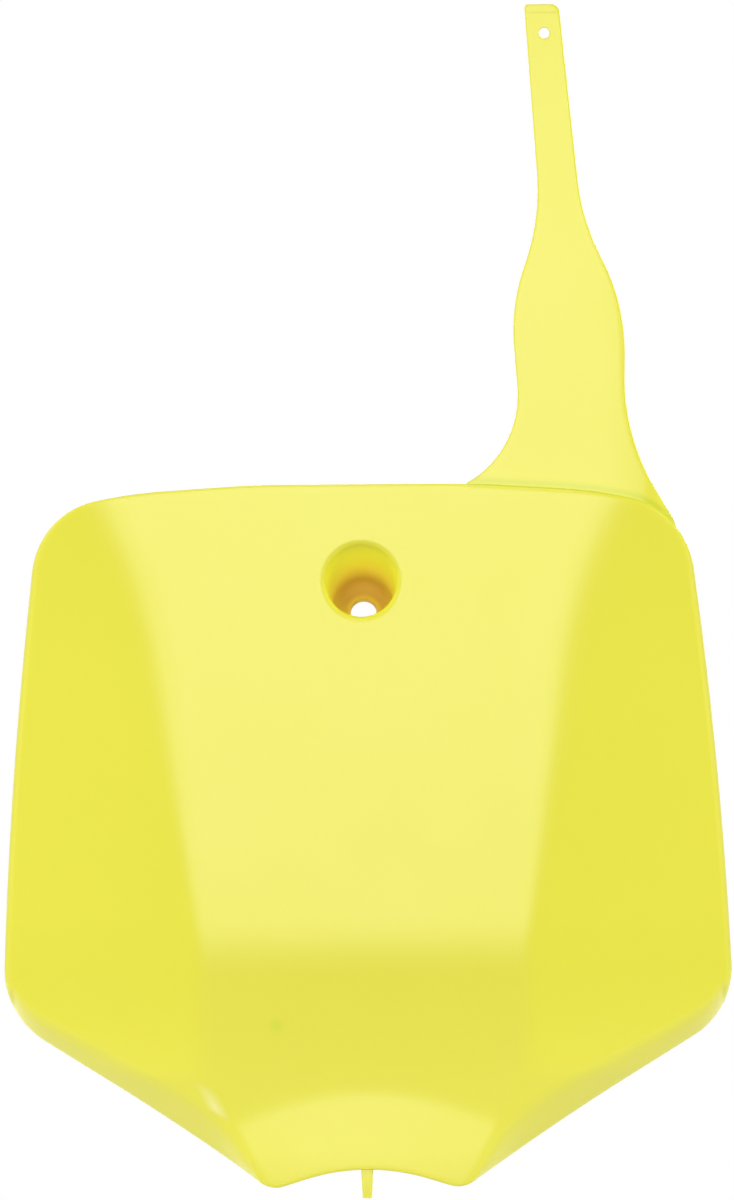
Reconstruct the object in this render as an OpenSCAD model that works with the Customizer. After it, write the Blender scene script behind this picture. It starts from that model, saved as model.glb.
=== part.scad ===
// Front number board for a motocross bike, moulded in one piece.
// A shield with a flat middle and two wings that fold back, a slanted bolt cup,
// a curled lip with a locating tongue at the bottom and a holding strap at the top.
// X runs across, Z up the face, and the front looks along -Y.
// The origin is the centre of the bolt hole, halfway through the floor of the cup.

/* [Shield outline] */
// Height of the top edge above the bolt hole
top_h = 40.4; // [34:0.2:50]
// Width of the straight middle of the top edge
top_flat_w = 68; // [56:1:76]
// Width between the shoulders, where the top edge starts to drop
shoulder_w = 147; // [138:1:156]
// Drop of the shoulders below the top edge
shoulder_drop = 2.5; // [1.8:0.1:3.2]
// Width between the top corners, before rounding
top_corner_w = 205; // [198:1:212]
// Drop of the top corners below the top edge
top_corner_drop = 8.8; // [7:0.2:10]
// Width between the middles of the bowed sides
side_w = 225; // [221:1:228]
// Depth of the middles of the sides below the bolt hole
side_mid_h = 50; // [42:1:58]
// Width between the bottom corners, before rounding
bottom_corner_w = 231.8; // [229:0.2:236]
// Depth of the bottom corners below the bolt hole
bottom_corner_h = 127; // [121:1:132]
// Width between the bends in the slanted bottom edges
slant_bend_w = 123; // [112:1:134]
// Height of those bends above the lobes
slant_bend_rise = 22.1; // [21:0.1:25]
// Width between the two lobes at the bottom
lobe_w = 60.6; // [56:0.2:68]
// Depth of the lobes below the bolt hole
lobe_h = 182.6; // [178:0.2:188]
// Height of the arch's peak above the lobes, before rounding
arch_rise = 9.4; // [7.6:0.1:12.6]
// Radius at the ends of the straight middle of the top edge
top_bend_r = 300; // [200:10:340]
// Radius of the shoulders
shoulder_r = 150; // [100:5:160]
// Radius of the top corners
top_corner_r = 26; // [16:0.5:27]
// Radius of the bowed sides
side_r = 1500; // [800:50:1550]
// Radius of the bottom corners
bottom_corner_r = 25.5; // [12:0.5:27]
// Radius of the bends in the slanted edges
slant_bend_r = 800; // [200:50:900]
// Radius of the lobes
lobe_r = 8.5; // [7:0.5:10]
// Radius of the arch
arch_r = 65; // [40:1:70]

/* [Shield form] */
// Wall thickness of the moulding
wall = 2.2; // [1.8:0.1:3]
// Radius of the rounded front rim
rim_r = 2.2; // [1.2:0.1:3]
// Depth of the rim, from its rounded front to its back edge
rim_depth = 3.8; // [3.4:0.1:6]
// Radius of the gentle crown across the face
crown_r = 1500; // [900:50:4000]
// Radius of the gentle bow down the face
bow_r = 4000; // [2500:100:9000]
// Width between the wing folds at the chin line
fold_w = 104; // [96:1:110]
// Sideways spread of each fold for each millimetre above the chin line
fold_spread = 0.153; // [0.12:0.001:0.18]
// Depth below the top edge at which the folds start to flare outwards
flare_drop = 60; // [50:1:66]
// Sharpness of that flare
flare_rate = 0.0038; // [0.002:0.0002:0.0042]
// Angle by which the wings fold back
wing_angle = 22; // [16:0.5:28]
// Half width of the soft bend of a fold at the top edge
fold_soft_top = 12; // [6:0.5:16]
// Half width of the soft bend of a fold at the chin line
fold_soft_low = 3.5; // [2:0.5:6]
// Depth of the chin line, where the face leans back, below the bolt hole
chin_h = 105.5; // [98:0.5:112]
// Angle by which the face leans back below the chin line
chin_angle = 8.5; // [4:0.5:12]
// Half height of the soft bend at the chin line
chin_soft = 8; // [4:0.5:14]
// Height above the lobes at which the folds turn in towards them
fold_turn_h = 37; // [30:1:44]
// Distance of each fold's lower end outside the middle of a lobe
fold_end_out = 2; // [0:0.2:4]
// Height of the curled lip above the arch
lip_h = 25; // [16:0.5:30]
// Angle by which the lip curls forwards
lip_angle = 9; // [4:0.5:12]
// Half height of the soft bend above the lip
lip_soft = 3; // [2:0.5:6]
// Height of the turned-back band along the slanted edges
band_h = 10; // [6:0.5:13]
// Angle by which that band turns back
band_angle = 30; // [15:1:38]
// Half height of the soft bend along the band
band_soft = 1.8; // [1:0.2:3]
// Width over which the lip and the band blend into the folds
blend_w = 6; // [4:0.5:9]

/* [Bolt cup] */
// Diameter of the bolt hole
bolt_d = 8.2; // [5.4:0.1:10]
// Depth of the bolt hole's centre behind the face
cup_depth = 22; // [17:0.5:27]
// Angle between the bolt and a line square to the face
cup_tilt = 24; // [10:1:28]
// Diameter of the cup's mouth
mouth_d = 22.5; // [21:0.1:26]
// Radius of the rounded edge of the mouth
mouth_round = 2; // [1:0.1:2.6]
// Diameter of the cup's floor
cup_floor_d = 19; // [17:0.1:20.5]
// Thickness of the cup's side wall
cup_wall = 2.4; // [1.6:0.1:3]
// Thickness of the cup's floor
floor_t = 3; // [2:0.1:4]
// Step by which the floor's flat seats stand proud inside and behind the cup
seat_step = 0.2; // [0.1:0.1:0.4]

/* [Strap] */
// Height of the strap's tip above the bolt hole
strap_h = 191.6; // [180:0.2:200]
// Thickness of the strap
strap_t = 2; // [1.6:0.1:2.4]
// Set-back of the strap behind the front of the shield's top rim
strap_setback = 1.2; // [0.8:0.1:1.6]
// Radius of the strap's gentle lean backwards
strap_lean_r = 2000; // [1200:100:6000]
// Distance from the middle of the shield to the middle of the strap's tip
strap_tip_x = 58.2; // [54:0.2:62]
// Width of the strap at its tip
strap_tip_w = 11; // [9:0.2:14]
// Distance from the middle of the shield to the middle of the strap's neck
strap_neck_x = 64; // [61:0.2:67]
// Width of the strap at its neck, before rounding
strap_neck_w = 13.1; // [11:0.1:16]
// Height of the neck above the bolt hole
strap_neck_h = 124; // [120:1:128]
// Distance from the middle of the shield to the middle of the strap's pad
strap_pad_x = 65.9; // [63:0.1:69]
// Width of the pad, before rounding
strap_pad_w = 36.1; // [32:0.1:38]
// Height of the pad above the bolt hole
strap_pad_h = 96; // [92:1:98]
// Distance from the middle of the shield to the middle of the strap's waist
strap_waist_x = 67.4; // [65:0.1:70]
// Width of the waist below the pad, before rounding
strap_waist_w = 32; // [30:0.1:34]
// Height of the waist above the shield's top edge
strap_waist_rise = 11.6; // [10:0.2:14]
// Radius of the strap's edges at its neck
strap_neck_r = 72; // [30:1:76]
// Radius of the strap's edges at its pad
strap_pad_r = 62; // [30:1:66]
// Radius of the inner edge at the waist
strap_waist_inner_r = 32; // [20:1:33]
// Radius of the outer edge at the waist
strap_waist_outer_r = 70; // [30:1:74]
// Radius of the inner corner of the tip
strap_tip_inner_r = 1.3; // [0.8:0.1:2]
// Radius of the outer corner of the tip
strap_tip_outer_r = 2.6; // [1:0.1:3]
// Rounding of the strap's edges
strap_edge_r = 0.6; // [0.3:0.1:0.7]
// Diameter of the hole near the tip
strap_hole_d = 3.4; // [2.5:0.1:5]
// Distance of that hole from the tip
strap_hole_in = 9.2; // [7:0.1:12]
// Distance from the middle of the shield to the inner end of the strap's root
strap_root_in = 30.2; // [26:0.2:34]
// Distance of the outer end of the strap's root inside the shield's top corner
strap_root_inset = 2.5; // [2.1:0.1:3.5]

/* [Locating tongue] */
// Width of the tongue at its root
tongue_w = 3.8; // [3:0.1:5]
// Width of the tongue at its tip
tongue_tip_w = 2.9; // [2.4:0.1:3]
// Reach of the tongue below the arch
tongue_reach = 9; // [6:0.2:12]
// Depth of the tongue from front to back at its root
tongue_depth = 8; // [6:0.2:10]
// Depth of the tongue from front to back at its tip
tongue_tip_depth = 6; // [4:0.2:6]
// Height of the rib that carries the tongue up the back of the lip
tongue_rib_h = 16; // [10:0.5:22]

/* [Hidden] */
plate_colour = [0.93, 0.92, 0.24];
// Columns of the shield's grid across the middle, the soft bend and the wing of each half
mid_steps = 8;
bend_steps = 6;
wing_steps = 7;
half_steps = mid_steps + bend_steps + wing_steps;
face_cols = 2 * half_steps;
// Rows of that grid above and below the chin line
upper_steps = 16;
lower_steps = 13;
face_rows = upper_steps + lower_steps;
// How much wider the first steps are than even ones: out from a fold, down from the top
// edge and down from the chin line
wing_ease = 1.6;
upper_ease = 0.4;
lower_ease = 1.5;
// Largest shares of the half width for a soft bend's half and for the end of a fold
soft_share_max = 0.09;
fold_share_max = 0.97;
// Steps of a rounded corner and sides of the cup
arc_steps = 16;
cup_sides = 48;
// Thickness of the rim's skirt, the lean and the bevel of its outside, and its fillet
rim_wall = 1.9;
rim_lean = 0.1;
rim_bevel = 0.3;
rim_fillet_in = 0.9;
rim_fillet_up = 0.5;
// Inset of the back face's edge, which leaves room for the rim
back_inset = rim_r + 1.4;
// Rounding of the cup's floor edges, and inset of the floor's flat seats from it
cup_edge_r = 1.2;
seat_inset = 0.6;
// Columns and rows of the strap's grid, and its rows over the rounded tip
strap_cols = 6;
strap_rows = 38;
tip_rows = 4;
// Height of the strap's waist above the bolt hole, and how far below it the inner edge's
// waist is and how far above it the outer edge's
strap_waist_h = top_h + strap_waist_rise;
waist_inner_drop = 2.3;
waist_outer_rise = 2.5;
// Distance from the middle of the shield to the outer end of the strap's root
strap_root_out = top_corner_w / 2 - strap_root_inset;
// Rows over which the strap's root follows the top rim, and its bite into the rim
root_rows = 12;
root_bite = 1.5;
// Sharpness with which that bite ends at the strap's outer edge
root_end_power = 8;
// Where the strap's outer edge meets the rim: inside its end, below the shield's top
// corner, with a radius, and where it ends inside the rim
strap_meet_in = 1.1;
strap_meet_drop = 3.4;
strap_meet_r = 4;
strap_end_drop = 8.1;
// Corner cuts of the tongue, and height of the straight collar between it and its rib
tongue_cut = 0.4;
tongue_collar = 2;
// Length by which each cut runs past what it cuts
cut_over = 2;
// Corners of the right half of the shield as [x, z, radius], from the top to the arch
CORNERS = [
  [top_flat_w / 2, top_h, top_bend_r],
  [shoulder_w / 2, top_h - shoulder_drop, shoulder_r],
  [top_corner_w / 2, top_h - top_corner_drop, top_corner_r],
  [side_w / 2, -side_mid_h, side_r],
  [bottom_corner_w / 2, -bottom_corner_h, bottom_corner_r],
  [slant_bend_w / 2, slant_bend_rise - lobe_h, slant_bend_r],
  [lobe_w / 2, -lobe_h, lobe_r],
  [0, arch_rise - lobe_h, arch_r]
];
top_corner_i = 2;
bottom_corner_i = 4;
OUTER_RIGHT = edges(0);
mouth_h = cup_depth * tan(cup_tilt);
arch_centre_h = lobe_h - arch_rise + arch_r / cos(atan2(arch_rise, lobe_w / 2));
arch_peak_h = arch_centre_h - arch_r;
// Corners of the strap's two edges as [x, z, radius], from the tip to the root
STRAP_IN = [
  [strap_tip_x - strap_tip_w / 2, strap_h, 0],
  [strap_neck_x - strap_neck_w / 2, strap_neck_h, strap_neck_r],
  [strap_pad_x - strap_pad_w / 2, strap_pad_h, strap_pad_r],
  [strap_waist_x - strap_waist_w / 2, strap_waist_h - waist_inner_drop, strap_waist_inner_r],
  [strap_root_in, top_h - root_bite, 0]
];
STRAP_OUT = [
  [strap_tip_x + strap_tip_w / 2, strap_h, 0],
  [strap_neck_x + strap_neck_w / 2, strap_neck_h, strap_neck_r],
  [strap_pad_x + strap_pad_w / 2, strap_pad_h, strap_pad_r],
  [strap_waist_x + strap_waist_w / 2, strap_waist_h + waist_outer_rise, strap_waist_outer_r],
  [strap_root_out - strap_meet_in, top_h - top_corner_drop - strap_meet_drop, strap_meet_r],
  [strap_root_out, top_h - top_corner_drop - strap_end_drop, 0]
];

function unit(v) = v / norm(v);
function mix(a, b, f) = a + (b - a) * f;
function clamp(f) = min(max(f, 0), 1);
// A share from 0 to 1 whose first steps are start times as wide as even ones
function ease(f, start) = f * (start + (1 - start) * f);
// A bend that is flat before -soft, straight after +soft and a parabola between
function bend(e, soft) = e <= -soft ? 0 : e >= soft ? e : pow(e + soft, 2) / (4 * soft);

// The arc that rounds corner b between a and c, moved inwards by inset, for a path
// that runs clockwise round its shape
function round_corner(a, b, c, inset) =
  let (u = unit([a[0] - b[0], a[1] - b[1]]))
  let (w = unit([c[0] - b[0], c[1] - b[1]]))
  let (half = acos(u * w) / 2)
  let (side = sign(u[0] * w[1] - u[1] * w[0]))
  let (centre = [b[0], b[1]] + unit(u + w) * b[2] / sin(half))
  let (first = unit([b[0], b[1]] + u * b[2] / tan(half) - centre))
  let (start = atan2(first[1], first[0]))
  let (sweep = -side * (180 - 2 * half))
  [for (k = [0:arc_steps])
    let (angle = start + sweep * k / arc_steps)
    centre + (b[2] - side * inset) * [cos(angle), sin(angle)]];

// Right half of the shield's edge, moved inwards: [top edge, side edge, bottom edge],
// cut in the middle of the two corners' arcs; the side edge is stored as [z, x]
function edges(inset) =
  let (last = len(CORNERS) - 1)
  let (before = concat([[-top_flat_w / 2, top_h]], CORNERS))
  let (after = concat([for (k = [1:last]) CORNERS[k]], [[-lobe_w / 2, -lobe_h]]))
  let (arcs = [for (k = [0:last]) round_corner(before[k], CORNERS[k], after[k], inset)])
  let (mid = arc_steps / 2)
  let (top = concat([[0, top_h - inset]], [for (k = [0:top_corner_i - 1]) each arcs[k]],
                    [for (k = [0:mid]) arcs[top_corner_i][k]]))
  let (flank = concat([for (k = [mid:arc_steps]) arcs[top_corner_i][k]],
                      [for (k = [top_corner_i + 1:bottom_corner_i - 1]) each arcs[k]],
                      [for (k = [0:mid]) arcs[bottom_corner_i][k]]))
  let (bottom = concat([for (k = [mid:arc_steps]) arcs[bottom_corner_i][k]],
                       [for (k = [bottom_corner_i + 1:last - 1]) each arcs[k]],
                       [for (k = [0:mid]) arcs[last][k]]))
  [top, [for (p = flank) [p[1], p[0]]], bottom];

// Half width between the folds at height z
function fold_x(z) =
  let (turn = max(-z - (lobe_h - fold_turn_h), 0) / fold_turn_h)
  fold_w / 2 + fold_spread * max(z + chin_h, 0)
  + flare_rate * pow(max(z - top_h + flare_drop, 0), 2)
  - (fold_w / 2 - lobe_w / 2 - fold_end_out) * turn;
function fold_soft(z) = mix(fold_soft_low, fold_soft_top, clamp((z + chin_h) / (chin_h + top_h)));

// Depth of the shield's front face behind the middle of the face
function face_depth(x, z) =
  let (out = abs(x) - fold_x(z))
  let (wing = clamp(out / blend_w))
  let (above_edge = z - lookup(abs(x), OUTER_RIGHT[2]))
  let (in_lip = arch_r + lip_h - norm([x, z + arch_centre_h]))
  x * x / (2 * crown_r) + z * z / (2 * bow_r)
  + tan(wing_angle) * bend(out, fold_soft(z))
  + tan(chin_angle) * bend(-z - chin_h, chin_soft)
  - tan(lip_angle) * bend(in_lip, lip_soft) * (1 - wing)
  + tan(band_angle) * bend(band_h - above_edge, band_soft) * wing;

// Share of the half width at column i of a half, with columns packed along the fold
function col_share(i, fold, soft) =
  let (b = min(soft, soft_share_max))
  let (c = min(fold, fold_share_max - 2 * b))
  let (f = (i - mid_steps - bend_steps) / wing_steps)
  i <= mid_steps ? (c - b) * i / mid_steps :
  i <= mid_steps + bend_steps ? c - b + 2 * b * (i - mid_steps) / bend_steps :
  mix(c + b, 1, ease(f, wing_ease));

// Point [x, z] of grid place (i, j) of the shield between edges e
function face_point(i, j, e) =
  let (upper = j <= upper_steps)
  let (f = upper ? j / upper_steps : (j - upper_steps) / lower_steps)
  let (t = ease(f, upper ? upper_ease : lower_ease))
  let (top_end = e[0][len(e[0]) - 1])
  let (side_z = upper ? mix(top_end[1], -chin_h, t) : mix(-chin_h, e[2][0][1], t))
  let (half_w = lookup(side_z, e[1]))
  let (fold_z = upper ? mix(top_h, -chin_h, t) : mix(-chin_h, -lobe_h, t))
  let (k = i - half_steps)
  let (share = col_share(abs(k), fold_x(fold_z) / half_w, fold_soft(fold_z) / half_w))
  let (x = share * half_w)
  let (edge_z = upper ? lookup(share * top_end[0], e[0]) : lookup(share * e[2][0][0], e[2]))
  [sign(k) * x, upper ? mix(edge_z, -chin_h, t) : mix(-chin_h, edge_z, t)];

// Places round a grid of cols by rows steps, clockwise from the first
function around(cols, rows) = concat(
  [for (i = [0:cols - 1]) [i, 0]],
  [for (j = [0:rows - 1]) [cols, j]],
  [for (i = [cols:-1:1]) [i, rows]],
  [for (j = [rows:-1:1]) [0, j]]
);

// A closed sheet: a front and a back grid of points, joined round their edges by rims,
// which are rings of points in the order of around()
module sheet(cols, rows, front, back, rims) {
  loop = around(cols, rows);
  count = len(loop);
  base = (cols + 1) * (rows + 1);
  rings = concat(
    [[for (p = loop) p[1] * (cols + 1) + p[0]]],
    [for (r = [0:len(rims) - 1]) [for (q = [0:count - 1]) 2 * base + r * count + q]],
    [[for (p = loop) base + p[1] * (cols + 1) + p[0]]]
  );
  cells = [for (j = [0:rows - 1]) for (i = [0:cols - 1])
    let (a = j * (cols + 1) + i)
    [a, a + 1, a + cols + 2, a + cols + 1]];
  faces = concat(
    [for (c = cells) each [[c[0], c[1], c[2]], [c[0], c[2], c[3]]]],
    [for (c = cells) each [[base + c[0], base + c[2], base + c[1]],
                           [base + c[0], base + c[3], base + c[2]]]],
    [for (r = [0:len(rings) - 2]) for (q = [0:count - 1])
      let (n = (q + 1) % count)
      each [[rings[r][q], rings[r + 1][q], rings[r + 1][n]],
            [rings[r][q], rings[r + 1][n], rings[r][n]]]]
  );
  polyhedron(concat(front, back, [for (ring = rims) each ring]), faces, convexity = 6);
}

// A point of the shield at grid place (i, j), between edges e and drop behind the face
function shield_point(i, j, e, drop) =
  let (p = face_point(i, j, e))
  [p[0], face_depth(p[0], p[1]) + drop - cup_depth, p[1]];

module shield() {
  front_edges = edges(rim_r);
  back_edges = edges(back_inset);
  // Rim profile as [inset, drop]: the rounded front, the skirt and its inner side
  profile = concat(
    [for (a = [30, 60, 90]) [rim_r * (1 - sin(a)), rim_r * (1 - cos(a))]],
    [[rim_lean, rim_depth - rim_bevel],
     [rim_lean + rim_bevel, rim_depth],
     [rim_wall, rim_depth],
     [back_inset - rim_fillet_in, wall + rim_fillet_up]]
  );
  sheet(face_cols, face_rows,
    [for (j = [0:face_rows]) for (i = [0:face_cols]) shield_point(i, j, front_edges, 0)],
    [for (j = [0:face_rows]) for (i = [0:face_cols]) shield_point(i, j, back_edges, wall)],
    [for (step = profile)
      let (e = edges(step[0]))
      [for (p = around(face_cols, face_rows)) shield_point(p[0], p[1], e, step[1])]]);
}

// Point at share f of the length of a path of [x, z] points
function along(path, reach, f) =
  let (at = f * reach[len(reach) - 1])
  [lookup(at, [for (k = [0:len(path) - 1]) [reach[k], path[k][0]]]),
   lookup(at, [for (k = [0:len(path) - 1]) [reach[k], path[k][1]]])];

// Length of a path from its start to each of its points
function reach_of(path) =
  let (steps = [for (k = [1:len(path) - 1]) norm(path[k] - path[k - 1])])
  [for (k = 0, sum = 0; k <= len(steps); sum = sum + (k < len(steps) ? steps[k] : 0), k = k + 1) sum];

// One edge of the strap as a path of points, with its corners rounded
function strap_edge(corners) =
  let (last = len(corners) - 1)
  concat(
    [[corners[0][0], corners[0][1]]],
    [for (k = [1:last - 1]) each round_corner(corners[k - 1], corners[k], corners[k + 1], 0)],
    [[corners[last][0], corners[last][1]]]
  );

// How far a corner of radius r cuts in at a distance from the end that it rounds
function corner_cut(r, distance) = distance >= r ? 0 : r - sqrt(r * r - pow(r - distance, 2));

// Rows of points along one edge of the strap, packed at its tip, each as [x, z, cut]
function strap_row_ends(corners, tip_r) =
  let (path = strap_edge(corners))
  let (reach = reach_of(path))
  let (full = reach[len(reach) - 1])
  [for (j = [0:strap_rows])
    let (from_tip = j < tip_rows ? strap_tip_outer_r * (1 - cos(90 * j / tip_rows))
                    : mix(strap_tip_outer_r, full, (j - tip_rows) / (strap_rows - tip_rows)))
    let (p = along(path, reach, from_tip / full))
    [p[0], p[1], corner_cut(tip_r, from_tip)]];

// Depth of the strap's front, which follows the shield's top rim and then leans back
function strap_depth(x, z) =
  let (edge_z = lookup(abs(x), OUTER_RIGHT[0]))
  face_depth(x, min(z, edge_z)) + strap_setback + pow(max(z - edge_z, 0), 2) / (2 * strap_lean_r);

// A point of the strap at grid place (i, j), between the ends of its rows; the last
// rows bow up to run along the shield's top rim
function strap_point(i, j, inner, outer, inset, drop) =
  let (a = [inner[j][0], inner[j][1]])
  let (b = [outer[j][0], outer[j][1]])
  let (across = unit(b - a))
  let (p = mix(a + across * (inset + inner[j][2]), b - across * (inset + outer[j][2]), i / strap_cols))
  let (root_z = mix(inner[strap_rows][1], outer[strap_rows][1], i / strap_cols))
  let (bite = 1 - pow(i / strap_cols, root_end_power))
  let (lift = (lookup(p[0], OUTER_RIGHT[0]) - root_bite - root_z) * bite)
  let (fade = pow(1 - min((strap_rows - j) / root_rows, 1), 2))
  let (tip_pull = j < tip_rows ? inset : 0)
  let (z = p[1] + lift * fade - tip_pull)
  [p[0], strap_depth(p[0], z) + drop - cup_depth, z];

module strap() {
  inner = strap_row_ends(STRAP_IN, strap_tip_inner_r);
  outer = strap_row_ends(STRAP_OUT, strap_tip_outer_r);
  r = strap_edge_r;
  // Edge profile as [inset, drop]: rounded at the front and at the back
  profile = [
    [r * (1 - sin(45)), r * (1 - cos(45))],
    [0, r],
    [0, strap_t - r],
    [r * (1 - sin(45)), strap_t - r * (1 - cos(45))]
  ];
  sheet(strap_cols, strap_rows,
    [for (j = [0:strap_rows]) for (i = [0:strap_cols]) strap_point(i, j, inner, outer, r, 0)],
    [for (j = [0:strap_rows]) for (i = [0:strap_cols]) strap_point(i, j, inner, outer, r, strap_t)],
    [for (step = profile) [for (p = around(strap_cols, strap_rows))
      strap_point(p[0], p[1], inner, outer, step[0], step[1])]]);
}

// Turns what is drawn along +Z so that it points out of the cup, along the bolt
module along_bolt() {
  rotate([90 - cup_tilt, 0, 0]) children();
}

// A ring of points round a centre, clockwise as seen from the front, tipped by an angle
function ring(centre, r, tip) = [for (k = [0:cup_sides - 1])
  let (angle = -360 * k / cup_sides)
  centre + r * [cos(angle), sin(angle) * sin(tip), sin(angle) * cos(tip)]];

// Rings across the mouth, behind the face by depth, and across the cup at a distance
// from the middle of its floor
function mouth_ring(r, depth) = ring([0, depth - cup_depth, mouth_h], r, 0);
function floor_ring(r, distance) = ring(distance * [0, -cos(cup_tilt), sin(cup_tilt)], r, cup_tilt);

// A closed solid through a list of rings that all have as many points
module loft(rings) {
  n = len(rings[0]);
  last = len(rings) - 1;
  polyhedron(
    [for (r = rings) each r],
    concat(
      [[for (k = [0:n - 1]) k]],
      [for (r = [0:last - 1]) for (k = [0:n - 1])
        let (m = (k + 1) % n)
        each [[r * n + k, (r + 1) * n + k, (r + 1) * n + m], [r * n + k, (r + 1) * n + m, r * n + m]]],
      [[for (k = [n - 1:-1:0]) last * n + k]]
    ),
    convexity = 4
  );
}

module cup_body() {
  mouth_r = mouth_d / 2 + cup_wall;
  floor_r = cup_floor_d / 2 + cup_wall;
  loft(concat(
    [mouth_ring(mouth_r, wall / 2)],
    [for (a = [0:30:90]) floor_ring(floor_r - cup_edge_r * (1 - cos(a)),
                                    cup_edge_r * (1 - sin(a)) + seat_step - floor_t / 2)]
  ));
}

module cup_space() {
  mouth_r = mouth_d / 2;
  floor_r = cup_floor_d / 2;
  loft(concat(
    [mouth_ring(mouth_r + mouth_round, -cut_over)],
    [for (a = [0:15:90]) mouth_ring(mouth_r + mouth_round * (1 - sin(a)), mouth_round * (1 - cos(a)))],
    [for (a = [0:30:90]) floor_ring(floor_r - cup_edge_r * (1 - cos(a)),
                                    cup_edge_r * (1 - sin(a)) - seat_step + floor_t / 2)]
  ));
}

// The flat seats of the floor, for the bolt's washer inside and the bracket behind
module floor_seats() {
  seat_r = cup_floor_d / 2 - cup_edge_r - seat_inset;
  along_bolt() cylinder(r = seat_r, h = floor_t, center = true, $fn = 96);
}

// A level section of the tongue: width w, from front to back, with small corner cuts
function tongue_section(w, z, front, depth) =
  let (cut = tongue_cut)
  [for (p = [[-w / 2 + cut, front], [w / 2 - cut, front], [w / 2, front + cut],
             [w / 2, front + depth - cut], [w / 2 - cut, front + depth],
             [-w / 2 + cut, front + depth], [-w / 2, front + depth - cut], [-w / 2, front + cut]])
    [p[0], p[1], z]];

module tongue() {
  root_y = face_depth(0, -arch_peak_h) - cup_depth + wall / 2;
  rib_top = tongue_rib_h - arch_peak_h;
  rib_y = face_depth(0, rib_top) - cup_depth + wall / 2;
  loft([
    tongue_section(tongue_tip_w, -arch_peak_h - tongue_reach, root_y, tongue_tip_depth),
    tongue_section(tongue_w, -arch_peak_h, root_y, tongue_depth),
    tongue_section(tongue_w, tongue_collar - arch_peak_h, root_y, tongue_depth),
    tongue_section(tongue_w, rib_top, rib_y, wall)
  ]);
}

module number_plate() {
  hole_z = strap_h - strap_hole_in;
  hole_x = mix(strap_neck_x, strap_tip_x, (hole_z - strap_neck_h) / (strap_h - strap_neck_h));
  hole_rise = hole_z - lookup(hole_x, OUTER_RIGHT[0]);
  color(plate_colour) difference() {
    union() {
      difference() {
        union() {
          shield();
          strap();
          cup_body();
          tongue();
        }
        cup_space();
      }
      floor_seats();
    }
    along_bolt() cylinder(d = bolt_d, h = floor_t + 2 * cut_over, center = true, $fn = 96);
    translate([hole_x, strap_depth(hole_x, hole_z) + strap_t / 2 - cup_depth, hole_z])
      rotate([90 - atan(hole_rise / strap_lean_r), 0, 0])
        cylinder(d = strap_hole_d, h = strap_t + 2 * cut_over, center = true, $fn = 64);
  }
}

number_plate();
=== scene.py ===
"""Front number board of a motocross bike: one neon-yellow moulding, dressed for a plain studio shot.

The whole moulding is one mesh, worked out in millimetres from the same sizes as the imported
part: a shield with its cup, a strap and a locating tongue, joined into one closed skin.
"""

import bpy
import numpy as np
from mathutils import Matrix, Vector


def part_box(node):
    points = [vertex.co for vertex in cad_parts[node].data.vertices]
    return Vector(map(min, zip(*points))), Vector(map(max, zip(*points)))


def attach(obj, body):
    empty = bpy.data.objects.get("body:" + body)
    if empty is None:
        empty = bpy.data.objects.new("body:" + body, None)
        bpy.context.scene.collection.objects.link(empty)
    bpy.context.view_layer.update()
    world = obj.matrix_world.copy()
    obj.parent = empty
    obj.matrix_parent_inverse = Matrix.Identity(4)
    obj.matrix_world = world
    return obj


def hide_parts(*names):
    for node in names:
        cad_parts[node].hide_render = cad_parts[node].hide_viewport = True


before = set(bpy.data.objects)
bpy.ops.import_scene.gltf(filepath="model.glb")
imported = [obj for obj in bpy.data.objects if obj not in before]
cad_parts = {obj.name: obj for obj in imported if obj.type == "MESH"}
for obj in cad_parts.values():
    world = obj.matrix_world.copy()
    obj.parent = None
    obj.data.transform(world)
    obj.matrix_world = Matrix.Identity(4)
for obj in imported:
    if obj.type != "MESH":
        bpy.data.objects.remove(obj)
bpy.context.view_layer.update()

MM = 0.001

# Sizes, in millimetres

TOP_H = 40.4
TOP_FLAT_W = 68.0
SHOULDER_W, SHOULDER_DROP = 147.0, 2.5
TOP_CORNER_W = 205.0
TOP_CORNER_H = TOP_H - 8.8
SIDE_W, SIDE_MID_H = 225.0, 50.0
BOTTOM_CORNER_W, BOTTOM_CORNER_H = 231.8, 127.0
SLANT_BEND_W, SLANT_BEND_RISE = 123.0, 22.1
LOBE_W = 60.6
LOBE_H = 182.6
ARCH_RISE = 9.4
ARCH_R = 65.0
# Corners of the right half of the shield as [x, z, radius], from the top to the arch
CORNERS = np.array([
    [TOP_FLAT_W / 2, TOP_H, 300],
    [SHOULDER_W / 2, TOP_H - SHOULDER_DROP, 150],
    [TOP_CORNER_W / 2, TOP_CORNER_H, 26],
    [SIDE_W / 2, -SIDE_MID_H, 1500],
    [BOTTOM_CORNER_W / 2, -BOTTOM_CORNER_H, 25.5],
    [SLANT_BEND_W / 2, SLANT_BEND_RISE - LOBE_H, 800],
    [LOBE_W / 2, -LOBE_H, 8.5],
    [0, ARCH_RISE - LOBE_H, ARCH_R],
])
# Places of the top and bottom corners in that list
TOP_CORNER, BOTTOM_CORNER = 2, 4
ARCH_CENTRE_H = LOBE_H - ARCH_RISE + ARCH_R / np.cos(np.arctan2(ARCH_RISE, LOBE_W / 2))
ARCH_PEAK_H = ARCH_CENTRE_H - ARCH_R

WALL = 2.2
# Radius of the soft front rim along the sides, and of the sharp one elsewhere
RIM_R, EDGE_R = 2.2, 0.6
# Steps round the rim, and how many of them reach out to where a sharper rim starts
RIM_STEPS, REACH_STEPS = 9, 3
RIM_DEPTH = 3.8
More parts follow.
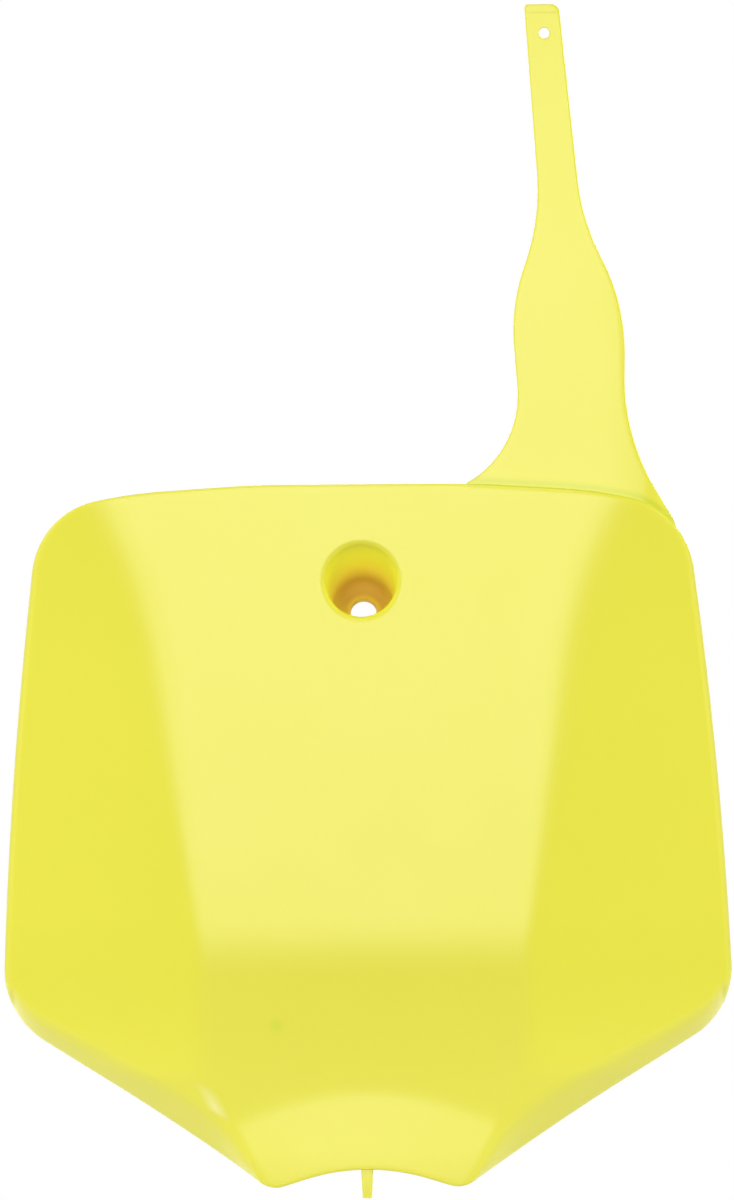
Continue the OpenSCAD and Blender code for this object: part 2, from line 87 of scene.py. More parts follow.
# The skirt behind the rim as [inset, height above its end], and the fillet from it into the back
# of the wall as [inset, drop]
SKIRT_T = 1.9
SKIRT = np.array([[0.04, 0.9], [0.1, 0.4], [0.2, 0.15], [0.4, 0], [SKIRT_T - 0.3, 0], [SKIRT_T, 0.1]])
SKIRT_FILLET = np.array([[2.15, 3.2], [2.5, 2.75], [2.95, 2.4], [3.3, 2.25]])
BACK_INSET = RIM_R + 1.4
# Heights between which the sides have the soft rim, and the length over which it turns sharp
SOFT_SIDE_LOW, SOFT_SIDE_TOP, SOFT_SIDE_FADE = -135.0, 30.0, 20.0
# How far the rim under the strap goes towards the soft one, and where that starts and its length
SOFT_UNDER_STRAP = 0.4
UNDER_STRAP_X, UNDER_STRAP_X_FADE = 31.0, 3.0
UNDER_STRAP_Z, UNDER_STRAP_Z_FADE = 20.0, 5.0
CROWN_R = 1500.0
BOW_R = 4000.0
FOLD_W = 104.0
FOLD_SPREAD = 0.153
FLARE_DROP = 60.0
FLARE_RATE = 0.0038
FOLD_SOFT_TOP, FOLD_SOFT_LOW = 12.0, 3.5
FOLD_TURN_H = 37.0
FOLD_END_OUT = 2.0
WING_SLOPE = np.tan(np.radians(22))
CHIN_H, CHIN_SOFT = 105.5, 8.0
CHIN_SLOPE = np.tan(np.radians(8.5))
LIP_H, LIP_SOFT = 25.0, 3.0
LIP_SLOPE = np.tan(np.radians(9))
# Height of the turned-back band at its inner and outer end, and half height of its soft bend,
# with the distances from the middle between which it narrows
BAND_H, BAND_END_H, BAND_SOFT = 10.0, 5.8, 2.6
BAND_FROM_X, BAND_TO_X = 62.0, 102.0
BAND_DROP = BAND_H * np.tan(np.radians(30))
BLEND_W = 6.0

BOLT_R = 4.1
CUP_DEPTH = 22.0
CUP_TILT = np.radians(24)
CUP_AXIS = np.array([0, -np.cos(CUP_TILT), np.sin(CUP_TILT)])
MOUTH_R = 11.25
MOUTH_ROUND = 2.0
MOUTH_H = CUP_DEPTH * np.tan(CUP_TILT)
FLOOR_R = 9.5
CUP_WALL = 2.4
FLOOR_T = 3.0
# Radii of the corner between the cup's wall and its floor, outside and inside
CUP_EDGE_R, CUP_SWEEP_R = 1.2, 3.6
# Rounded edge of the bolt hole as [distance outside the hole, distance into the floor]
BORE_EDGE = [(0.25, 0), (0.08, 0.08), (0, 0.25)]
BORE_LEVELS = (0.6, 0, -0.6)
# Radii of the rings across the floor, inside the cup and behind it
FLOOR_RINGS, UNDER_RINGS = (5.5, 5.0, 4.6), (4.6, 6, 8, 10)
# Fillet between the cup and the back of the wall, as the distances from each
CUP_FILLET = [(0, 1.2), (0.1, 0.7), (0.35, 0.35), (0.7, 0.1), (1.2, 0)]
# Rows down the cup's inside and up its outside
CUP_ROWS, OUTSIDE_ROWS = 16, 10

STRAP_T = 2.0
# How far the strap's front lies behind the face, and its slope outwards from a given x
STRAP_SETBACK = 2.4
STRAP_SPREAD = 0.12
STRAP_SPREAD_X, STRAP_SPREAD_SOFT = 79.0, 8.0
# The same set-back over the wing, and how softly the strap turns to follow it
STRAP_WING_SETBACK = 0.5
STRAP_TURN_SOFT = 0.6
STRAP_LEAN_R = 2000.0
STRAP_EDGE_R = 0.6
STRAP_H = 191.6
TIP_X, TIP_W = 58.2, 11.0
NECK_X, NECK_W, NECK_H = 64.0, 13.1, 124.0
PAD_X, PAD_W, PAD_H = 65.9, 36.1, 96.0
WAIST_X, WAIST_W, WAIST_H = 67.4, 32.0, 52.0
ROOT_IN_X, ROOT_OUT_X = 30.2, 100.0
# How far the root reaches below the top edge, and how late that fades towards its outer end
ROOT_BITE = 1.5
ROOT_END_POWER = 8
TIP_INNER_R, TIP_OUTER_R = 1.3, 2.6
# Corners of the strap's two edges as [x, z, radius], from the tip to the root
STRAP_IN = np.array([
    [TIP_X - TIP_W / 2, STRAP_H, 0],
    [NECK_X - NECK_W / 2, NECK_H, 72],
    [PAD_X - PAD_W / 2, PAD_H, 62],
    [WAIST_X - WAIST_W / 2, WAIST_H - 2.3, 32],
    [ROOT_IN_X, TOP_H - ROOT_BITE, 0],
])
STRAP_OUT = np.array([
    [TIP_X + TIP_W / 2, STRAP_H, 0],
    [NECK_X + NECK_W / 2, NECK_H, 72],
    [PAD_X + PAD_W / 2, PAD_H, 62],
    [WAIST_X + WAIST_W / 2, WAIST_H + 2.5, 70],
    [ROOT_OUT_X - 1.1, TOP_CORNER_H - 3.4, 4],
    [ROOT_OUT_X, TOP_CORNER_H - 8.1, 0],
])
STRAP_HOLE = np.array([58.99, 182.4])
STRAP_HOLE_R = 1.7
# Rounded edge of that hole as [distance outside it, distance into the strap]
STRAP_HOLE_EDGE = [(0.35, 0), (0.12, 0.1), (0, 0.35)]

TONGUE_W, TONGUE_TIP_W = 3.8, 2.9
TONGUE_REACH = 9.0
TONGUE_DEPTH, TONGUE_TIP_DEPTH = 8.0, 6.0
TONGUE_RIB_H = 16.0
# Rounding of the tongue's edges, and the level halfway round its tip as shares of that: how far
# in from each side, and how far up
TONGUE_CUT = 0.4
TIP_CUT_IN, TIP_CUT_UP = 0.15, 0.3
TONGUE_COLLAR = 2.0

# Marks on the skin: how far from the bolt's axis the cup's inside reaches, how far into the floor
# and past the hole's wall it is marked, and the ring round the hole with how much shallower it
# counts, so that the painted shade in the cup is lighter there
RECESS_R = 11.6
FLOOR_MARGIN, HOLE_MARGIN = 0.05, 0.2
HOLE_RING_W, HOLE_RING = 1.8, 0.1
# The painted shade in the crease under the strap: where it starts, its length of fade, its
# height above the top edge and its width, and the height above which the strap is looked for
CREASE_X, CREASE_FADE = 32.0, 4.0
CREASE_UP, CREASE_W = 0.95, 1.15
CREASE_ABOVE_Z = 20.0
SHARP_ANGLE = np.radians(38)

# Finish, in linear colour and in metres

NEON = (0.83, 0.79, 0.033, 1)
NEON_CLOUDY = (0.84, 0.80, 0.038, 1)
# Painted light and shade in the cup's inside, by depth behind the face: lighter on the upper
# wall and darker amber towards the floor, with the two ends first
RECESS_SHADE_TINTS = [
    (0.0, (0.83, 0.79, 0.033, 1)),
    (1.0, (0.62, 0.36, 0.055, 1)),
    (0.3, (1.0, 0.93, 0.03, 1)),
    (0.6, (0.98, 0.80, 0.03, 1)),
    (0.85, (0.80, 0.54, 0.04, 1)),
]
PIN_MARK = (-0.0281, -0.0159, -0.1304)
PIN_MARK_R, PIN_MARK_SOFT = 0.0019, 0.0011
PIN_TINT = (0.75, 0.775, 0.022, 1)
# Painted shade, darker and greener, along the crease where the strap meets the shield's top edge
CREASE_SHADE = (0.66, 0.70, 0.01, 1)
# Painted highlight along the crease beside the left fold
GLINT_HIGHLIGHT = (0.93, 0.90, 0.30, 1)
# Painted light: an emission that brightens the cup's inside, by depth
PAINTED_GLOW = (0.075, 0.10, 0.02, 1)
# Depths between which that light falls off, and what is left of it
GLOW_FROM, GLOW_TO, GLOW_LEFT = 0.7, 1.0, 0.2
# The painted highlight on the crease beside the left fold as [z, x, half width], in millimetres
GLINT = np.array([
    [-162, -43.5, 0.2],
    [-158.5, -46.3, 0.8],
    [-154.6, -49.2, 1.2],
    [-149, -52.2, 0.8],
    [-143.5, -54.6, 0.35],
])
PLASTIC_IOR = 1.65
# Level of gloss on the face and in the cup, and the depth at which the cup's finish is reached
FACE_GLOSS, CUP_GLOSS = 0.5, 0.12
CUP_START = 0.1
ROUGH_LOW, ROUGH_HIGH, CUP_ROUGH = 0.26, 0.34, 0.3
# Noise: its detail, and its scales in waves to the metre
NOISE_DETAIL = 2
CLOUD_SCALE, SMOOTH_SCALE, RIPPLE_SCALE, PEBBLE_SCALE = 18, 30, 45, 900
PEBBLE_SHARE = 0.04
BUMP_STRENGTH, BUMP_DISTANCE = 0.04, 0.001

# Floor, lamps and camera, in metres

STAGE_Z, STAGE_R, STAGE_BACK = -0.195, 0.6, 0.44
STAGE_SIDES = 128
# Where the floor takes the shadow, and the radii between which it turns plain white
SHADOW_AT = (0, 0.1 - STAGE_BACK, 0)
SHADOW_R, SHADOW_END_R = 0.1, 0.25
STAGE_COLOUR = (0.5, 0.5, 0.5, 1)
# Light that the floor adds for the camera, and for gloss
STAGE_LIFT, STAGE_GLOSS = 0.53, 1.35
ROOM_LIGHT = 0.29
# Each softbox as its place, the point it faces, its width and height in metres, and its watts
FRONT_SOFTBOX = ((-0.175, -2.5, 0.4), (-0.175, 0, 0.4), 2.35, 0.7, 17.5)
LOW_SOFTBOX = ((-0.175, -2.5, -0.275), (-0.175, 0, -0.275), 2.35, 0.65, 11.5)
TOP_SOFTBOX = ((0, -1.6, 1.9), (0, 0, 0), 1.2, 1.2, 9)
LEFT_SOFTBOX = ((-2.16, -0.38, 0.4), (0, 0, 0), 1.0, 1.4, 22)
RIGHT_SOFTBOX = ((2.16, -0.38, 0.4), (0, 0, 0), 1.0, 1.4, 22)
BACK_SOFTBOX = ((0.5, 2.4, 0.7), (0, 0, 0), 1.4, 1.2, 38)
CAMERA_TURN = np.radians(2.0)
CAMERA_ROLL = np.radians(0.47)
CAMERA_DISTANCE = 10.0
CAMERA_AIM = (0.0011, 0.0, 0.0038)
FRAME_H = 0.3796
# Width of the sensor, in millimetres
SENSOR_W = 36
CLIP_END = 100

# Grid sizes

ARC_STEPS = 48
MID_COLS, BEND_COLS, WING_COLS = 32, 22, 26
HALF_COLS = MID_COLS + BEND_COLS + WING_COLS
UPPER_ROWS, LOWER_ROWS = 100, 64
# Largest shares of the half width for a soft bend's half and for the end of a fold
SOFT_SHARE_MAX, FOLD_SHARE_MAX = 0.09, 0.97
# The first step over an even one: out from a fold, down from the top edge, down from the chin
# line, and in from a window's border
WING_EASE, UPPER_EASE, LOWER_EASE, FAN_EASE = 1.7, 0.4, 1.5, 1.6
# Half height and half width of the cup's window, in millimetres, and the steps from its border
# to the cup in front and behind
WINDOW_H, WINDOW_W = 21.0, 20.5
FRONT_FAN, BACK_FAN = 9, 8
STRAP_COLS, STRAP_ROWS, TIP_ROWS = 20, 140, 8
# Share of the strap's rows, from its root, that turn to run along the top edge
ROOT_SHARE = 12 / 34
# Half height of the window round the strap's hole, the columns beside it and the steps inside it
STRAP_WINDOW_H, STRAP_WINDOW_COL, STRAP_FAN = 3.4, 3, 5


# Outlines

def unit(v):
    """Vectors of length 1."""
    return v / np.linalg.norm(v, axis=-1, keepdims=True)


def mix(a, b, share):
    """A straight mix, from a at 0 to b at 1."""
    return a + (b - a) * share


def fade(value, start, length):
    """0 up to start, 1 from a length further on, and a straight rise between."""
    return np.clip((value - start) / length, 0, 1)


def rounded(a, b, c, inset):
    """The arc that rounds corner b between a and c: its centre lies on the bisector, the radius
    over the sine of half the corner away, and it sweeps half a turn less the corner's angle."""
    u, w = unit(a[:2] - b[:2]), unit(c[:2] - b[:2])
    half = np.arccos(u @ w) / 2
    side = np.sign(u[0] * w[1] - u[1] * w[0])
    centre = b[:2] + unit(u + w) * b[2] / np.sin(half)
    first = b[:2] + u * b[2] / np.tan(half) - centre
    start = np.arctan2(first[1], first[0])
    angle = start - side * (np.pi - 2 * half) * np.linspace(0, 1, ARC_STEPS + 1)
    return centre + (b[2] - side * inset) * np.stack([np.cos(angle), np.sin(angle)], -1)


def edges(inset):
    """Right half of the shield's outline, moved inwards: the top as x to z, the side as z to x
    and the bottom as x to z, each sorted for interpolation. They meet halfway round the corners."""
    first, last = [[-TOP_FLAT_W / 2, TOP_H, 0]], [[-LOBE_W / 2, -LOBE_H, 0]]
    chain = np.concatenate([first, CORNERS, last])
    arcs = [rounded(*chain[k:k + 3], inset) for k in range(len(CORNERS))]
    mid = ARC_STEPS // 2
    top = np.concatenate([[[0, TOP_H - inset]], *arcs[:TOP_CORNER], arcs[TOP_CORNER][:mid + 1]])
    side = np.concatenate([arcs[TOP_CORNER][mid:], *arcs[TOP_CORNER + 1:BOTTOM_CORNER],
                           arcs[BOTTOM_CORNER][:mid + 1]])[:, ::-1]
    bottom = np.concatenate([arcs[BOTTOM_CORNER][mid:], *arcs[BOTTOM_CORNER + 1:-1], arcs[-1][:mid + 1]])
    return [line[np.argsort(line[:, 0])] for line in (top, side, bottom)]


def along(line, at):
    """The line's height at each place, straight between its points."""
    return np.interp(at, line[:, 0], line[:, 1])


OUTLINE = edges(0)


# The shield's form

def bend(e, soft):
    """Flat before -soft, straight after +soft and a parabola between."""
    return np.where(e <= -soft, 0, np.where(e >= soft, e, (e + soft) ** 2 / (4 * soft)))


def fold_x(z):
    """Half width between the folds: a straight spread above the chin, a square-law flare near
    the top edge and a straight turn inwards at the lobes."""
    turn = np.maximum(-z - (LOBE_H - FOLD_TURN_H), 0) / FOLD_TURN_H
    return (FOLD_W / 2 + FOLD_SPREAD * np.maximum(z + CHIN_H, 0)
            + FLARE_RATE * np.maximum(z - TOP_H + FLARE_DROP, 0) ** 2
            - (FOLD_W / 2 - LOBE_W / 2 - FOLD_END_OUT) * turn)


def fold_soft(z):
    """Half width of a fold's soft bend: it grows straight from the chin line to the top edge."""
    return mix(FOLD_SOFT_LOW, FOLD_SOFT_TOP, fade(z, -CHIN_H, CHIN_H + TOP_H))


def face_depth(x, z):
    """Depth of the front face: a crown and a bow, and soft bends added along the folds, the
    chin line, the lip's arc and the band on the slanted edges, which grows narrower and
    steeper outwards."""
    x = np.abs(x)
    out = x - fold_x(z)
    wing = fade(out, 0, BLEND_W)
    above_edge = z - along(OUTLINE[2], x)
    band = np.interp(x, [BAND_FROM_X, BAND_TO_X], [BAND_H, BAND_END_H])
    in_lip = ARCH_R + LIP_H - np.hypot(x, z + ARCH_CENTRE_H)
    return (x * x / (2 * CROWN_R) + z * z / (2 * BOW_R)
            + WING_SLOPE * bend(out, fold_soft(z))
            + CHIN_SLOPE * bend(-z - CHIN_H, CHIN_SOFT)
            - LIP_SLOPE * bend(in_lip, LIP_SOFT) * (1 - wing)
            + BAND_DROP / band * bend(band - above_edge, BAND_SOFT) * wing)


def ease(share, start):
    """A square curve from 0 to 1 whose slope at 0 is start."""
    return share * (start + (1 - start) * share)


def col_share(k, fold, soft):
    """Share of the half width at column k: even across the middle, even and close across the
    soft bend, and growing closer towards the edge across the wing."""
    b = np.minimum(soft, SOFT_SHARE_MAX)
    c = np.minimum(fold, FOLD_SHARE_MAX - 2 * b)
    bend_at = c - b + 2 * b * (k - MID_COLS) / BEND_COLS
    f = (k - MID_COLS - BEND_COLS) / WING_COLS
    wing_at = mix(c + b, 1, ease(f, WING_EASE))
    return np.where(k <= MID_COLS, (c - b) * k / MID_COLS,
                    np.where(k <= MID_COLS + BEND_COLS, bend_at, wing_at))


def face_grid(inset):
    """The shield's grid of x and z inside an inset outline. Rows lie between the top edge, the
    chin line and the bottom edge; columns keep their share of the width and follow the folds."""
    top, side, bottom = edges(inset)
    top_end, low_end = top[-1], bottom[-1]
    k = np.arange(-HALF_COLS, HALF_COLS + 1)[None, :]
    j = np.arange(UPPER_ROWS + LOWER_ROWS + 1)[:, None]
    upper = j <= UPPER_ROWS
    t = np.where(upper, ease(j / UPPER_ROWS, UPPER_EASE), ease((j - UPPER_ROWS) / LOWER_ROWS, LOWER_EASE))
    side_z = np.where(upper, mix(top_end[1], -CHIN_H, t), mix(-CHIN_H, low_end[1], t))
    half_w = along(side, side_z)
    fold_z = np.where(upper, mix(TOP_H, -CHIN_H, t), mix(-CHIN_H, -LOBE_H, t))
    share = col_share(np.abs(k), fold_x(fold_z) / half_w, fold_soft(fold_z) / half_w)
    top_z, low_z = along(top, share * top_end[0]), along(bottom, share * low_end[0])
    z = np.where(upper, mix(top_z, -CHIN_H, t), mix(-CHIN_H, low_z, t))
    return np.stack([np.sign(k) * share * half_w, z], -1)


def on_face(flat, drop):
    """Points [x, z] set on the front face and moved back by drop."""
    x, z = flat[..., 0], flat[..., 1]
    return np.stack([x, face_depth(x, z) + drop - CUP_DEPTH, z], -1)


# Closed skins

def border(rows, cols):
    """Rows and columns of a grid's border, clockwise from its first point."""
    i, j = np.arange(cols), np.arange(rows)
    return (np.concatenate([0 * i, j, 0 * i + rows, rows - j]),
            np.concatenate([i, 0 * j + cols, cols - i, 0 * j]))


class Skin:
    """Points and four-sided faces of one closed skin, gathered as whole arrays."""

    def __init__(self):
        self.points, self.quads, self.count = [], [], 0

    def add(self, points):
        points = np.asarray(points, float)
        index = self.count + np.arange(points.size // 3).reshape(points.shape[:-1])
        self.points.append(points.reshape(-1, 3))
        self.count += index.size
        return index

    def grid(self, index, window=None):
        """Faces of a grid of indices, clockwise as seen from its front, less a window of cells."""
        cells = np.stack([index[:-1, :-1], index[:-1, 1:], index[1:, 1:], index[1:, :-1]], -1)
        keep = np.ones(cells.shape[:2], bool)
        if window:
            keep[window] = False
        self.quads.append(cells[keep])

    def rings(self, index):
        """Faces between closed rings of indices, each ring one row."""
        after = np.roll(index, -1, 1)
        cells = np.stack([index[:-1], index[1:], after[1:], after[:-1]], -1)
        self.quads.append(cells.reshape(-1, 4))

    def cap(self, ring):
        """Closes a convex ring of an even number of points with a strip of faces across it."""
        k = np.arange(len(ring) // 2 - 1)
        self.quads.append(np.stack([ring[k], ring[k + 1], ring[-2 - k], ring[-1 - k]], -1))

    def mesh(self, name):
        """The mesh in metres. Quads are turned over, so that they face outwards."""
        mesh = bpy.data.meshes.new(name)
        quads = np.concatenate(self.quads)[:, ::-1]
        points = np.concatenate(self.points) * MM
        mesh.vertices.add(len(points))
        mesh.vertices.foreach_set("co", points.astype(np.float32).ravel())
        mesh.loops.add(quads.size)
        mesh.loops.foreach_set("vertex_index", quads.astype(np.int32).ravel())
        mesh.polygons.add(len(quads))
        mesh.polygons.foreach_set("loop_start", np.arange(0, quads.size, 4, dtype=np.int32))
        mesh.update(calc_edges=True)
        mesh.validate()
        return mesh


def rim_profile(r):
    """A rim of radius r as rows of [inset, drop]: a quarter circle, reached across the face from
    RIM_R in from the edge, then the skirt and its fillet."""
    a = np.radians(np.linspace(0, 90, RIM_STEPS + 1))[1:]
    reach = np.minimum(np.arange(1, RIM_STEPS + 1) / REACH_STEPS, 1)
    across = RIM_R - (RIM_R - r) * reach
    round_part = np.stack([across - r * np.sin(a), r * (1 - np.cos(a))], -1)
    skirt = np.stack([SKIRT[:, 0], RIM_DEPTH - SKIRT[:, 1]], -1)
    return np.concatenate([round_part, skirt, SKIRT_FILLET])


def angles_round(loop, centre):
    """The angle at which each point of a loop lies round a centre."""
    flat = loop - centre
    return np.arctan2(flat[:, 1], flat[:, 0])


def circle(angle, r):
    """Points at the given angles on a circle of radius r."""
    return r * np.stack([np.cos(angle), np.sin(angle)], -1)


def fan_in(loop, ring, steps):
    """Rings from a window's border to a circle inside it, closer together near the circle."""
    share = ease(np.arange(1, steps) / steps, FAN_EASE)[:, None, None]
    return mix(loop[None], ring[None], share)


def cup_rings(angle):
    """Rings of the cup from its rounded mouth down its wall, across its floor, through the bolt
    hole and back up the outside. Rings near the mouth lie across the face, those near the floor
    across the bolt, and those between are straight mixes of the two."""

    def across_face(r, depth):
        flat = circle(angle, r) + [0, MOUTH_H]
        return on_face(flat, depth)

    def across_bolt(r, distance):
        flat = circle(angle, r)
        across = np.array([0, np.sin(CUP_TILT), np.cos(CUP_TILT)])
        return distance * CUP_AXIS + flat[:, :1] * [1, 0, 0] + flat[:, 1:] * across

    turn = np.radians(np.arange(0, 91, 10))
    inner = [across_face(MOUTH_R + MOUTH_ROUND * (1 - np.sin(a)), MOUTH_ROUND * (1 - np.cos(a)))
             for a in turn]
    floor = [across_bolt(FLOOR_R - CUP_SWEEP_R * (1 - np.cos(a)), FLOOR_T / 2 + CUP_SWEEP_R * (1 - np.sin(a)))
             for a in turn]
    wall = [mix(inner[-1], floor[0], f) for f in np.arange(1, CUP_ROWS) / CUP_ROWS]
    flat_in = [across_bolt(r, FLOOR_T / 2) for r in FLOOR_RINGS]
    bore = [across_bolt(BOLT_R + out, FLOOR_T / 2 - deep) for out, deep in BORE_EDGE]
    bore += [across_bolt(BOLT_R, level) for level in BORE_LEVELS]
    bore += [across_bolt(BOLT_R + out, deep - FLOOR_T / 2) for out, deep in BORE_EDGE[::-1]]
    flat_out = [across_bolt(r, -FLOOR_T / 2) for r in UNDER_RINGS]
    out_r = FLOOR_R + CUP_WALL
    under = [across_bolt(out_r - CUP_EDGE_R * (1 - np.cos(a)), CUP_EDGE_R * (1 - np.sin(a)) - FLOOR_T / 2)
             for a in turn[::-1]]
    fillet = [across_face(MOUTH_R + CUP_WALL + out, WALL + deep) for out, deep in CUP_FILLET]
    outside = [mix(under[-1], fillet[0], f) for f in np.arange(1, OUTSIDE_ROWS) / OUTSIDE_ROWS]
    return np.array(inner + wall + floor + flat_in + bore + flat_out + under + outside + fillet)


def make_shield():
    """The shield and its cup: a front and a back grid, joined by the rim round their borders and
    by the cup through a window in both. The rim is a straight mix of a soft and a sharp one."""
    skin = Skin()
    front_flat, back_flat = face_grid(RIM_R), face_grid(BACK_INSET)
    front, back = skin.add(on_face(front_flat, 0)), skin.add(on_face(back_flat, WALL))
    loop = border(UPPER_ROWS + LOWER_ROWS, 2 * HALF_COLS)
    x, z = front_flat[loop].T
    at_side = fade(z, SOFT_SIDE_LOW, SOFT_SIDE_FADE) * fade(-z, -SOFT_SIDE_TOP, SOFT_SIDE_FADE)
    at_strap = fade(x, UNDER_STRAP_X, UNDER_STRAP_X_FADE) * fade(z, UNDER_STRAP_Z, UNDER_STRAP_Z_FADE)
    soft_rim = np.maximum(at_side, SOFT_UNDER_STRAP * at_strap)

    def rim_rings(r):
        return np.array([on_face(face_grid(inset)[loop], drop) for inset, drop in rim_profile(r)])

    rims = skin.add(mix(rim_rings(EDGE_R), rim_rings(RIM_R), soft_rim[None, :, None]))
    skin.rings(np.array([front[loop], *rims, back[loop]]))
    # The window that the cup takes from both grids
    column = front_flat[:, HALF_COLS, 1]
    first, last = np.searchsorted(-column, [-(MOUTH_H + WINDOW_H), -(MOUTH_H - WINDOW_H)])
    side = int(np.searchsorted(front_flat[first, HALF_COLS:, 0], WINDOW_W))
    window = (slice(first, last), slice(HALF_COLS - side, HALF_COLS + side))
    skin.grid(front, window)
    skin.grid(back[:, ::-1], window)
    j, i = border(last - first, 2 * side)
    j, i = j + first, i + HALF_COLS - side
    centre = np.array([0, MOUTH_H])
    angle = angles_round(front_flat[j, i], centre)
    cup = skin.add(cup_rings(angle))
    fillet_r = MOUTH_R + CUP_WALL + CUP_FILLET[-1][0]
    in_flat = fan_in(front_flat[j, i], centre + circle(angle, MOUTH_R + MOUTH_ROUND), FRONT_FAN)
    out_flat = fan_in(back_flat[j, i], centre + circle(angle, fillet_r), BACK_FAN)
    inside, outside = skin.add(on_face(in_flat, 0)), skin.add(on_face(out_flat, WALL))
    ring = np.concatenate([front[j, i][None], inside, cup, outside[::-1], back[j, i][None]])
    skin.rings(ring[:, ::-1])
    return skin.mesh("shield")


# The strap

def strap_edge(corners):
    """One edge of the strap as points [x, z], with its corners rounded."""
    arcs = [rounded(*corners[k:k + 3], 0) for k in range(len(corners) - 2)]
    return np.concatenate([corners[:1, :2], *arcs, corners[-1:, :2]])


def corner_cut(r, distance):
    """How far a corner of radius r cuts in at a distance from the end that it rounds."""
    return np.where(distance >= r, 0, r - np.sqrt(np.maximum(r * r - (r - distance) ** 2, 0)))


def strap_rows(corners, tip_r):
    """Rows along one edge of the strap as [x, z, cut], even in length and packed at the tip."""
    path = strap_edge(corners)
    reach = np.concatenate([[0], np.cumsum(np.linalg.norm(np.diff(path, axis=0), axis=1))])
    j = np.arange(STRAP_ROWS + 1)
    at_tip = TIP_OUTER_R * (1 - np.cos(np.pi / 2 * j / TIP_ROWS))
    share = (j - TIP_ROWS) / (STRAP_ROWS - TIP_ROWS)
    at = np.where(j < TIP_ROWS, at_tip, mix(TIP_OUTER_R, reach[-1], share))
    return np.stack([np.interp(at, reach, path[:, 0]), np.interp(at, reach, path[:, 1]),
                     corner_cut(tip_r, at)], -1)


INNER, OUTER = strap_rows(STRAP_IN, TIP_INNER_R), strap_rows(STRAP_OUT, TIP_OUTER_R)


def strap_flat(inset):
    """The strap's grid of x and z between its two edges. Its last rows bow up to run along the
    shield's top edge."""
    a, b = INNER[:, None, :2], OUTER[:, None, :2]
    across = unit(b - a)
    i = np.arange(STRAP_COLS + 1)[None, :, None] / STRAP_COLS
    p = mix(a + across * (inset + INNER[:, None, 2:]), b - across * (inset + OUTER[:, None, 2:]), i)
    share = i[..., 0]
    root_z = mix(INNER[-1, 1], OUTER[-1, 1], share)
    lift = (along(OUTLINE[0], p[..., 0]) - ROOT_BITE - root_z) * (1 - share ** ROOT_END_POWER)
    j = np.arange(STRAP_ROWS + 1)[:, None]
    from_root = (STRAP_ROWS - j) / (STRAP_ROWS - TIP_ROWS) / ROOT_SHARE
    fade = (1 - np.minimum(from_root, 1)) ** 2
    tip_pull = np.where(j < TIP_ROWS, inset, 0)
    return np.stack([p[..., 0], p[..., 1] + lift * fade - tip_pull], -1)


def on_strap(flat, drop):
    """Points [x, z] set on the strap's front and moved back by drop. The front lies nearly
    flat across the fold, a little behind the face, turns back with the wing where that lies
    deeper, and leans back above the top edge along a large circle."""
    x, z = flat[..., 0], flat[..., 1]
    edge_z = along(OUTLINE[0], np.abs(x))
    above = np.maximum(z - edge_z, 0)
    z_on_face = np.minimum(z, edge_z)
    fold = WING_SLOPE * bend(np.abs(x) - fold_x(z_on_face), fold_soft(z_on_face))
    spread = STRAP_SETBACK + STRAP_SPREAD * bend(np.abs(x) - STRAP_SPREAD_X, STRAP_SPREAD_SOFT)
    behind = spread + bend(fold + STRAP_WING_SETBACK - spread, STRAP_TURN_SOFT)
    lean = above ** 2 / (2 * STRAP_LEAN_R)
    y = face_depth(x, z_on_face) - fold + behind + lean + drop - CUP_DEPTH
    return np.stack([x, y, z], -1)


def make_strap():
    """The strap: a front and a back grid, joined by rounded edges of a quarter circle each and by
    the hole through a window in both."""
    skin = Skin()
    flat = strap_flat(STRAP_EDGE_R)
    front, back = skin.add(on_strap(flat, 0)), skin.add(on_strap(flat, STRAP_T))
    loop = border(STRAP_ROWS, STRAP_COLS)
    a = np.radians([22.5, 45, 67.5, 90])
    ins, drop = STRAP_EDGE_R * (1 - np.sin(a)), STRAP_EDGE_R * (1 - np.cos(a))
    profile = [*zip(ins, drop), *zip(ins[::-1], STRAP_T - drop[::-1])]
    rims = [skin.add(on_strap(strap_flat(inset)[loop], d)) for inset, d in profile]
    skin.rings(np.array([front[loop], *rims, back[loop]]))
    column = flat[:, STRAP_COLS // 2, 1]
    hole_z = STRAP_HOLE[1]
    first, last = np.searchsorted(-column, [-(hole_z + STRAP_WINDOW_H), -(hole_z - STRAP_WINDOW_H)])
    side = STRAP_COLS // 2 - STRAP_WINDOW_COL
    window = (slice(first, last), slice(STRAP_WINDOW_COL, STRAP_COLS - STRAP_WINDOW_COL))
    skin.grid(front, window)
    skin.grid(back[:, ::-1], window)
    j, i = border(last - first, 2 * side)
    j, i = j + first, i + STRAP_WINDOW_COL
    angle = angles_round(flat[j, i], STRAP_HOLE)
    hole = [*STRAP_HOLE_EDGE, *((out, STRAP_T - deep) for out, deep in STRAP_HOLE_EDGE[::-1])]
    bore = [on_strap(STRAP_HOLE + circle(angle, STRAP_HOLE_R + out), d) for out, d in hole]
    fan_end = STRAP_HOLE + circle(angle, STRAP_HOLE_R + STRAP_HOLE_EDGE[0][0])
    fan = fan_in(flat[j, i], fan_end, STRAP_FAN)
    inside, outside = skin.add(on_strap(fan, 0)), skin.add(on_strap(fan, STRAP_T))
    ring = np.concatenate([front[j, i][None], inside, skin.add(bore), outside[::-1], back[j, i][None]])
    skin.rings(ring[:, ::-1])
    return skin.mesh("strap")


# The locating tongue

